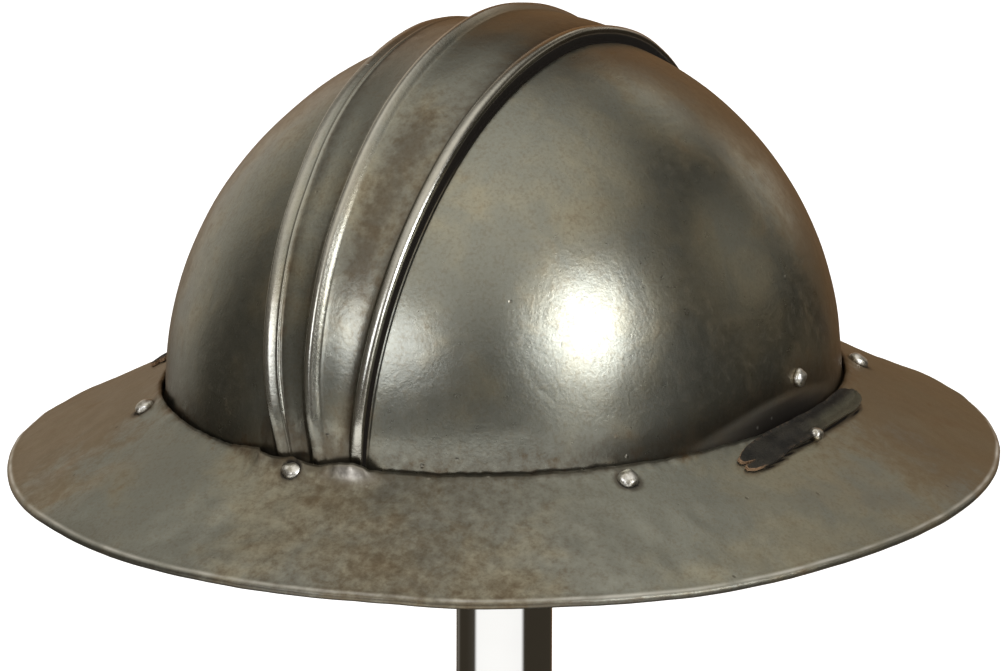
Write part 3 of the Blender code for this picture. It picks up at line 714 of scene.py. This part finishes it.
def brim_relief(degrees, along, above, start, length, flat):
    """What hammering adds to the brim's smooth slope, as heights.

    Cosine waves of several lengths, the uneven rim, the lip against the crown with its own small
    ripples, the knob as a round bell, and a fine line along the hem.
    """
    share = along / length
    plan = flat * np.array([1, 1, 0])
    near = np.maximum(along - start, 0)
    window = smooth(share, 0.15, 0.5) * (1 - 0.5 * smooth(share, 0.85, 1.0))
    waves = 0.30 * MM * ripple(plan, 75 * MM, 11) + 0.16 * MM * ripple(plan, 28 * MM, 12)
    ridge = 0.07 * MM * ripple(plan, 13 * MM, 13) + 0.03 * MM * ripple(plan, 6 * MM, 14)
    sag = brim_sag(degrees) * MM * share ** 2
    uneven = 1 + 0.16 * ripple(plan, 9 * MM, 15)
    lip = seam_lip(degrees) * uneven * np.exp(-(near / (4.5 * MM)) ** 1.5)
    lip = lip + 0.14 * MM * ripple(flat, 4 * MM, 16) * np.exp(-near / (2.5 * MM))
    knob = KNOB_HEIGHT * bell(degrees, KNOB_ANGLE, 2.6) * bell(along, 3.6 * MM, 3.0 * MM)
    bead = 0.12 * MM * bell(along - length, -1.1 * MM, 0.8 * MM) * (above > -0.5 * PLATE)
    return (waves + ridge) * window + sag + lip + knob + bead


def brim_marks(degrees, along, above, start, length, flat):
    """Wear and painted highlights on the knob and the hem, brown dirt and a painted shade line at the
    seam, painted shadows at the rivets and the straps, and painted shade below and on the hem's outer
    face.
    """
    plan = flat * np.array([1, 1, 0])
    near = np.maximum(along - start, 0)
    soil = 0.62 * bell(degrees, 18, 32)
    soil = soil + 0.25 * bell(degrees, -1, 13) * (1 - smooth(near, 2 * MM, 16 * MM))
    # Painted highlight on the knob, with some wear
    knob_wear_and_highlight = 1.9 * bell(degrees, KNOB_ANGLE, 3.0) * bell(along, 4.2 * MM, 3.2 * MM)
    from_edge = (along - length) / MM
    # A painted highlight line along the hem's top edge, with its wear
    hem_wear_and_highlight = (0.9 + 0.3 * ripple(plan, 12 * MM, 17)) * bell(from_edge, -0.35, 0.55)
    hem_wear_and_highlight = hem_wear_and_highlight * (above > -0.5 * PLATE)
    hem_face = smooth(from_edge, 0.3, 1.0) * (above > -0.9 * HEM_HEIGHT)
    # Painted shade under the hem's flap and the plate, and on the hem's outer face
    under = smooth(-above, 0.55 * HEM_HEIGHT, 0.9 * HEM_HEIGHT)
    # Brown dirt by the crown's front, and a painted shade line along the seam against the crown
    film_and_shade = soil + 0.5 * (1 - smooth(near, 0.5 * MM, 3.5 * MM))
    film_and_shade = film_and_shade + 0.4 * under + 0.38 * hem_face * (1 - under)
    shadow = strap_shadow(degrees, along)
    return {
        "seam": 1 - smooth(near, 0, 10 * MM),
        "worn_and_highlight": knob_wear_and_highlight + hem_wear_and_highlight,
        "hem": hem_wear_and_highlight,
        "grime_and_shade": np.maximum.reduce([1.12 * rivet_shadow_rings(flat), np.minimum(film_and_shade, 0.80), shadow]),
    }


def make_brim(material):
    """The sloping plate: the closed section carried around the oval, with hammered relief."""
    angle = np.linspace(-math.pi, math.pi, BRIM_COLUMNS + 1)[:-1]
    _, _, slope, length = section(angle)
    shifts = np.radians(np.linspace(-2.4, 2.4, 9))
    clear = np.max([foot_rise(angle + shift) for shift in shifts], axis=0)
    start = (clear + SEAM_GAP + PLATE * np.sin(slope)) / np.cos(slope)
    along, above = brim_profile(length, start)
    around = np.broadcast_to(angle[:, None], along.shape)
    flat = on_slope(around, along, np.zeros_like(along))
    layout = (np.degrees(around), along, above, start[:, None], length[:, None], flat)
    points = on_slope(around, along, above + brim_relief(*layout))
    index = np.arange(along.size).reshape(along.shape)
    faces = grid_faces(index, close_rows=True, close_columns=True)
    # Brown patina and painted warm reflection toward the edges turned away from the camera
    attributes = {**brim_marks(*layout), "patina_and_reflection": 1.5 * far_side(points)}
    mesh = mesh_from("brim_plate", points.reshape(-1, 3), faces, attributes)
    return add_piece("brim_plate", mesh, material, "hat_steel", "brim")


# Rivets


def turned(profile, sides, dent=0.0, seed=0):
    """A profile of radius and height turned around the upright axis, closed at both ends."""
    around = np.linspace(0, 2 * math.pi, sides + 1)[:-1]
    radius = profile[1:-1, 0][:, None]
    height = profile[1:-1, 1][:, None] + 0 * around
    points = np.stack([radius * np.cos(around), radius * np.sin(around), height], axis=-1)
    if dent:
        size = np.abs(profile[:, 0]).max()
        points = points * (1 + dent * ripple(points / size, 1.1, seed))[..., None]
    rows, columns = points.shape[:2]
    index = np.arange(rows * columns).reshape(rows, columns)
    ends = np.array([[0, 0, profile[0, 1]], [0, 0, profile[-1, 1]]])
    top, bottom = rows * columns, rows * columns + 1
    body = grid_faces(index, close_columns=True)
    following = np.roll(index, -1, axis=1)
    caps = [np.stack([np.full(columns, top), index[0], following[0]], axis=-1)]
    caps.append(np.stack([np.full(columns, bottom), following[-1], index[-1]], axis=-1))
    return np.concatenate([points.reshape(-1, 3), ends]), body, np.concatenate(caps)


def turned_mesh(name, profile, sides, place=None, dent=0.0, seed=0):
    """The turned shape as a mesh, moved to its place by a matrix, its end fans as triangles."""
    points, body, caps = turned(np.asarray(profile), sides, dent, seed)
    mesh = bpy.data.meshes.new(name)
    mesh.from_pydata(points.tolist(), [], body.tolist() + caps.tolist())
    shade_smooth(mesh)
    if place is not None:
        mesh.transform(place)
    mesh.update()
    return mesh


def rivet_outline(head, height, grip):
    """The rivet's half section from the top of its head to the end of its peened tail.

    The dome's radius follows a sine and its height a cosine to the power 0.8; a short skirt goes
    down to the plate, and the straight shank ends in a rounded tail.
    """
    shank, (tail, tail_height) = RIVET_SHANK / 2, RIVET_TAIL
    half = head / 2
    outline = []
    for turn in np.linspace(0, 1, 14)[:-1] * math.pi / 2:
        outline.append((half * math.sin(turn), height * math.cos(turn) ** 0.8))
    outline += [(half, 0.0), (half * 0.98, -RIVET_SEAT), (shank, -RIVET_SEAT - 0.05 * MM)]
    outline += [(shank, -grip), (0.97 * tail, -grip), (tail, -grip - 0.35 * tail_height)]
    outline += [(0.7 * tail, -grip - 0.85 * tail_height), (0, -grip - tail_height)]
    return outline


def standing(place, normal):
    """The matrix that sets an upright shape at a place with its top along a normal."""
    turn = Vector(normal).to_track_quat("Z", "Y").to_matrix().to_4x4()
    return Matrix.Translation(Vector(place)) @ turn


def add_rivet(node, outline, matrix, material, seed):
    """One rivet in the place of its solid, hammered a little out of round."""
    mesh = turned_mesh(node + "_head", outline, RIVET_SIDES, matrix, RIVET_DENT, seed)
    add_piece(node + "_head", mesh, material, "rivet_steel", node)


def make_rivets(material):
    """The brim's rivets and the two low in the crown, each hammered a little differently."""
    grip = 2 * PLATE + PLATE_GAP + 2 * RIVET_SEAT
    for seed, (name, (degrees, along)) in enumerate(BRIM_RIVETS.items()):
        angle = np.radians(degrees)
        strapped = name in STRAP_TURN
        lift = STRAP_SEAT + STRAP_THICKNESS if strapped else 0.0
        head, height = STRAP_HEAD if strapped else PLAIN_HEAD
        place = on_slope(angle, along * MM, lift + RIVET_SEAT)
        matrix = standing(place, slope_normal(angle))
        outline = rivet_outline(head, height, grip + lift)
        add_rivet("brim_rivet_" + name, outline, matrix, material, seed + 20)
    outline = rivet_outline(*CROWN_HEAD, PLATE + 0.85 * MM)
    for name, side in SIDES.items():
        angle = math.radians(CROWN_RIVET_ANGLE) * side
        radius = np.array(math.acos(CROWN_RIVET_RISE / CROWN_AXES[2]) / (math.pi / 2))
        direction = (radius, np.array(math.cos(angle)), np.array(math.sin(angle)))
        face = dome_points(*direction, np.array(0.0))
        normal = dome_points(*direction, np.array(1.0)) - face
        matrix = standing(face + normal * 0.175 * MM, normal)
        add_rivet("crown_rivet_" + name, outline, matrix, material, side + 40)


# Stand


def make_stand(polish, pad):
    """Base, post and pad as turned shapes with softened edges.

    The base is a disc with a quarter circle at each edge, the post a straight tube's outside, and
    the pad a dome that falls with the power 2.15 of its radius.
    """
    edge = 2.0 * MM
    half = BASE_DIAMETER / 2
    turns = np.linspace(0, math.pi / 2, 7)
    bend = [(half - edge + edge * math.sin(a), -edge + edge * math.cos(a)) for a in turns]
    outline = [(share * half, BASE_THICKNESS) for share in (0, 0.4, 0.8)]
    outline += [(r, BASE_THICKNESS + h) for r, h in bend]
    outline += [(r, -h) for r, h in bend[::-1]] + [(0.5 * half, 0.0), (0, 0.0)]
    mesh = turned_mesh("stand_disc", outline, 160)
    add_piece("stand_disc", mesh, polish, "stand_polish", "stand_base")
    half = POST_DIAMETER / 2
    outline = [(half, h) for h in np.linspace(POST_TOP, POST_BOTTOM, 30)]
    mesh = turned_mesh("stand_column", [(0, POST_TOP)] + outline + [(0, POST_BOTTOM)], 96)
    add_piece("stand_column", mesh, polish, "stand_polish", "stand_post")
    half = CAP_DIAMETER / 2
    rim = CAP_BOTTOM + 6 * MM
    outline = [(half * t, rim + (CAP_TOP - rim) * (1 - t ** 2.15)) for t in np.linspace(0, 1, 20)[:-1]]
    outline += [(half - 0.4 * MM, rim), (half, rim - 0.8 * MM), (half, CAP_BOTTOM + 1 * MM)]
    outline += [(half - 1 * MM, CAP_BOTTOM), (0.5 * half, CAP_BOTTOM), (0, CAP_BOTTOM)]
    mesh = turned_mesh("stand_pad", outline, 96)
    add_piece("stand_pad", mesh, pad, "stand_pad", "stand_cap")


# Side straps


def make_straps(material):
    """Each strap: a grid along and across, laid on the brim, thickened into leather.

    Its two edges are cubic curves through the stations, and across it lies straight. It is lifted
    by a crease along the middle, a curl at the outer edge, the brim's lip and a slow ripple, and a
    bell-shaped slit is cut into its front end by pulling the points back.
    """
    table = {key: np.array([[row[key] for row in STRAP_STATIONS]]) for key in STRAP_STATIONS[0]}
    stations = table["angle"][0]
    along = np.linspace(0, 1, STRAP_LENGTHS + 1)[:, None]
    across = np.linspace(0, 1, STRAP_WIDTHS + 1)[None, :]
    degrees = stations[0] + (stations[-1] - stations[0]) * along[:, 0]
    cell = np.clip(np.searchsorted(stations, degrees) - 1, 0, len(stations) - 2)
    part = (degrees - stations[cell]) / np.diff(stations)[cell]
    inner, outer = (hermite(table["angle"], table[key], cell, part).T for key in ("inner", "outer"))
    place = (inner + (outer - inner) * across) * MM
    slit = 2.6 * bell(across, 0.52, 0.10) * (1 - smooth(along, 0.0, 0.09))
    crease = 0.8 * MM * (1 - smooth(np.abs(across - 0.42), 0.0, 0.30)) * smooth(along, 0.04, 0.25)
    curl = 1.1 * MM * bell(across, 1.0, 0.22) * smooth(along, 0.15, 0.50)
    lip = 0.8 * MM * np.exp(-np.maximum(place / MM - 1.2, 0) / 4)
    from_side = np.minimum(across, 1 - across) * STRAP_WIDTHS / 2
    edge = np.minimum(from_side, along * STRAP_LENGTHS / 3)
    attributes = {
        "torn": (1 - np.clip(edge, 0, 1)) * (1 - smooth(along, 0.03, 0.16)),
        "rim": 1 - np.clip(edge / 2, 0, 1),
        # Lighter toward the rear and the outer edge; the darker inner side next to the crown is painted
        # shade
        "pale": smooth(along, 0.36, 0.66) * smooth(across, 0.30, 0.62),
    }
    index = np.arange(place.size).reshape(place.shape)
    for name, side in SIDES.items():
        angle = np.radians(degrees[:, None] + slit + STRAP_TURN[name])
        flat = on_slope(angle, place, 0 * place)
        above = STRAP_SEAT + crease + curl + lip + 0.10 * MM * ripple(flat, 9 * MM, 31)
        points = on_slope(angle, place, above).reshape(-1, 3) * np.array([1, side, 1])
        faces = grid_faces(index)[:, ::-side]
        mesh = mesh_from("side_strip_" + name, points, faces, attributes)
        piece = add_piece("side_strip_" + name, mesh, material, "old_leather", "side_strap_" + name)
        wall = piece.modifiers.new("leather", "SOLIDIFY")
        wall.thickness = STRAP_THICKNESS
        wall.offset = 1
        soften = piece.modifiers.new("soft edges", "BEVEL")
        soften.width = 0.45 * MM
        soften.segments = 3
        soften.limit_method = "ANGLE"
        soften.angle_limit = math.radians(50)


# Finishes


def hat_steel(name, rough, tone):
    """Darkened steel: grey-olive metal, brown patina in patches, grime and painted shade in hollows, pits
    and wear.

    Noises of four sizes choose between cool and warm grey, brown and rust; the attributes add
    bright wear and painted highlights, grime and painted shade that turn to painted black shade
    where thick, and age with a painted warm reflection on the far side. rough is the bare metal's
    roughness, and tone makes its colours darker or lighter.
    """
    finish = Finish(name, Specular_IOR_Level=0.12)
    marks = ("worn_and_highlight", "grime_and_shade", "seam", "patina_and_reflection", "hem")
    worn_and_highlight, grime_and_shade, seam, patina_and_reflection, hem = (finish.attribute(key) for key in marks)
    broad = finish.noise(15.0, 3.0, 0.5, 0.3)
    blotch = finish.noise(58.0, 5.0, 0.58, 0.5)
    speckle = finish.noise(270.0, 5.0, 0.62)
    grain = finish.noise(900.0, 4.0, 0.65)
    tones = {
        "cool": (0.296, 0.300, 0.254),
        "warm": (0.395, 0.368, 0.270),
        "brown": (0.222, 0.160, 0.088),
        "rust": (0.215, 0.135, 0.068),
        "bright": (0.640, 0.620, 0.550),
    }
    cool, warm, brown, rust, bright = (tuple(tone * part for part in color) for color in tones.values())
    steel = finish.mix((broad * 0.6 + blotch * 0.4).over(0.42, 0.60), cool, warm)
    steel = finish.mix(grain.over(0.35, 0.70) * 0.30, steel, tuple(0.55 * part for part in warm))
    age = blotch * 0.52 + broad * 0.30 + speckle * 0.28 + patina_and_reflection * 0.27 + grime_and_shade * 0.12
    aged = age.over(0.58, 0.84)
    color = finish.mix(aged * 0.80, steel, brown)
    rusty = (speckle * 0.55 + blotch * 0.45 + seam * 0.14 + patina_and_reflection * 0.08).over(0.66, 0.82)
    color = finish.mix(rusty * 0.60, color, rust)
    freckle = (grain * 0.55 + speckle * 0.45 + patina_and_reflection * 0.05).over(0.49, 0.62)
    color = finish.mix(freckle * 0.22, color, tuple(0.8 * part for part in brown))
    # Bright wear on crests, and painted highlights on a rib's edge, the knob and the hem's top edge
    polish = (worn_and_highlight * (0.45 + speckle * 0.9)).clamp()
    color = finish.mix(polish * 0.80, color, bright)
    # Brown grime, and painted shade in creases, along the seam, under the brim and beside the rivets and
    # straps
    dirt_and_shade = (grime_and_shade * (0.3 + speckle * 1.3)).over(0.12, 0.80) * 0.66
    color = finish.mix(dirt_and_shade, color, (0.064, 0.045, 0.028))
    # Painted black shade: where the grime and shade pass 0.8 the colour is painted near black and the
    # metal dull
    painted_black_shade = grime_and_shade.over(0.80, 1.15)
    color = finish.mix(painted_black_shade, color, (0.010, 0.008, 0.006))
    roughness = rough + (speckle - 0.5) * 0.10 + aged * 0.06 - polish * 0.08 + painted_black_shade * 0.45
    nick, chance = finish.cells(290.0)
    nicks = (1 - nick.over(0.06, 0.26)) * (chance + seam * 0.26).over(0.93, 0.96)
    color = finish.mix(nicks * 0.12, color, bright)
    pit, pick = finish.cells(150.0)
    pits = (1 - pit.over(0.04, 0.13)) * pick.over(0.80, 0.83)
    color = finish.mix(pits * 0.5, color, (0.09, 0.070, 0.050))
    normal = finish.bump(blotch, 0.00020)
    normal = finish.bump(speckle, 0.00004, normal)
    normal = finish.bump(grain, 0.00005, normal)
    normal = finish.bump(nicks - pits, 0.00013, normal)
    # The hem's painted highlight line is made less metallic, so it stays bright under any lamp
    metal = 0.97 - aged * 0.10 - freckle * 0.06 - painted_black_shade * 0.95 + polish * 0.30 - hem * 0.45
    roughness, metal = roughness.clamp(), metal.clamp()
    return finish.wear(Base_Color=color, Roughness=roughness, Metallic=metal, Normal=normal)


def rivet_steel():
    """Rivet heads: hammered bright, dull in the dents."""
    finish = Finish("rivet_steel")
    mottle = finish.noise(520.0, 4.0, 0.6)
    color = finish.mix(mottle.over(0.38, 0.58), (0.42, 0.395, 0.33), (0.74, 0.72, 0.66))
    normal = finish.bump(mottle, 0.00014)
    return finish.wear(Base_Color=color, Roughness=0.30 + mottle * 0.14, Metallic=1.0, Normal=normal)


def old_leather():
    """Dry dark leather, grained and cracked, tan where it is torn."""
    finish = Finish("old_leather", Specular_IOR_Level=0.25)
    torn, rim, pale = (finish.attribute(key) for key in ("torn", "rim", "pale"))
    grain = finish.noise(620.0, 6.0, 0.65)
    cloud = finish.noise(150.0, 4.0, 0.6)
    dark = finish.mix(cloud.over(0.35, 0.65), (0.010, 0.009, 0.007), (0.026, 0.023, 0.017))
    # The pale mask lightens the rear and outer side; the dark left at the inner side is painted shade
    dark = finish.mix(pale * (0.35 + cloud * 0.8), dark, (0.088, 0.080, 0.050))
    dark = finish.mix(rim * grain.over(0.50, 0.62) * 0.45, dark, (0.11, 0.075, 0.048))
    color = finish.mix((torn * (0.4 + grain)).over(0.50, 0.85), dark, (0.24, 0.15, 0.085))
    crack, _ = finish.cells(520.0, "DISTANCE_TO_EDGE")
    normal = finish.bump(grain, 0.00022)
    normal = finish.bump(crack.over(0.0, 0.12), 0.00012, normal)
    return finish.wear(Base_Color=color, Roughness=0.58 + grain * 0.2, Normal=normal)


def stand_polish():
    """Polished steel with a breath of haze."""
    finish = Finish("stand_polish")
    haze = finish.noise(40.0, 3.0)
    color = finish.mix(haze, (0.66, 0.66, 0.65), (0.72, 0.72, 0.71))
    return finish.wear(Base_Color=color, Roughness=0.06 + haze * 0.04, Metallic=1.0)


def stand_pad():
    """Matt black rubber with a fine grain."""
    finish = Finish("stand_pad")
    grain = finish.noise(900.0, 3.0)
    color = finish.mix(grain, (0.02, 0.02, 0.02), (0.045, 0.045, 0.045))
    return finish.wear(Base_Color=color, Roughness=0.6, Normal=finish.bump(grain, 0.0001))


# Stage, light and camera


def view_axes():
    """Unit vectors from the object to the camera, to the picture's right and to its top."""
    level = math.cos(VIEW_ELEVATION)
    cosine, sine = math.cos(VIEW_AZIMUTH), math.sin(VIEW_AZIMUTH)
    back = Vector((cosine * level, sine * level, math.sin(VIEW_ELEVATION)))
    right = Vector((-sine, cosine, 0.0))
    return back, right, back.cross(right)


def make_camera():
    """A long lens at the photograph's angle, aimed so that the frame needs no shift."""
    back, right, up = view_axes()
    target = Vector((0, 0, BRIM_HEIGHT + AXIS_POINT_RISE))
    place = target + back * VIEW_DISTANCE
    sideways = (FRAME_WIDTH / 2 - AXIS_PIXEL[0]) / PIXELS_PER_METRE
    upward = (AXIS_PIXEL[1] - FRAME_HEIGHT / 2) / PIXELS_PER_METRE
    aim = target + right * sideways + up * upward
    data = bpy.data.cameras.new("view")
    data.sensor_width = SENSOR
    data.lens = PIXELS_PER_METRE * VIEW_DISTANCE * SENSOR / FRAME_WIDTH
    data.clip_end = 50.0
    camera = bpy.data.objects.new("view", data)
    bpy.context.scene.collection.objects.link(camera)
    turn = (place - aim).to_track_quat("Z", "Y").to_matrix().to_4x4()
    camera.matrix_world = Matrix.Translation(place) @ turn @ Matrix.Rotation(VIEW_ROLL, 4, "Z")
    bpy.context.scene.camera = camera


def lamp_way(azimuth, elevation):
    """The unit vector toward a lamp, given by its angles from the camera's side."""
    turn = VIEW_AZIMUTH + math.radians(azimuth)
    lift = math.radians(elevation)
    return (math.cos(turn) * math.cos(lift), math.sin(turn) * math.cos(lift), math.sin(lift))


def make_stage():
    """A plain pale floor that runs far behind the stand."""
    reach = 12.0
    mesh = bpy.data.meshes.new("floor")
    corners = [(-reach, -reach, 0), (reach, -reach, 0), (reach, reach, 0), (-reach, reach, 0)]
    mesh.from_pydata(corners, [], [(0, 1, 2, 3)])
    floor = bpy.data.objects.new("floor", mesh)
    bpy.context.scene.collection.objects.link(floor)
    white = (1.0, 1.0, 1.0, 1.0)
    pale = (0.9, 0.9, 0.9, 1.0)
    paint = Finish("floor", Base_Color=pale, Roughness=0.9, Emission_Color=white, Emission_Strength=0.6)
    mesh.materials.append(paint.material)
    floor.visible_glossy = False


def make_room():
    """The room around the hat: a dim shell with soft round lamps that fade toward their rims."""
    world = bpy.data.worlds.new("room")
    world.use_nodes = True
    room = Nodes(world.node_tree)

    def facing(way):
        return room.add("VectorMath", {"operation": "DOT_PRODUCT"}, {0: room.place, 1: way}, "Value")

    light = ROOM_COLOR
    for lamp in ROOM_LAMPS:
        inner, outer = (math.cos(math.radians(lamp[key])) for key in ("inner", "outer"))
        glow = facing(lamp_way(lamp["azimuth"], lamp["elevation"])).over(outer, inner)
        if lamp.get("floor"):
            glow = glow * facing((0, 0, -1)).over(0.10, 0.22)
        color = tuple(lamp["power"] * part for part in lamp["color"])
        light = room.mix(glow, light, color, "ADD")
    room.feed(world.node_tree.nodes["Background"], {"Color": light})
    bpy.context.scene.world = world


def main():
    make_camera()
    make_stage()
    make_room()
    bpy.context.scene.view_settings.view_transform = "Standard"
    make_crown(hat_steel("crown_steel", rough=0.29, tone=0.92))
    make_brim(hat_steel("brim_steel", rough=0.42, tone=1.06))
    make_rivets(rivet_steel())
    make_straps(old_leather())
    make_stand(stand_polish(), stand_pad())


main()
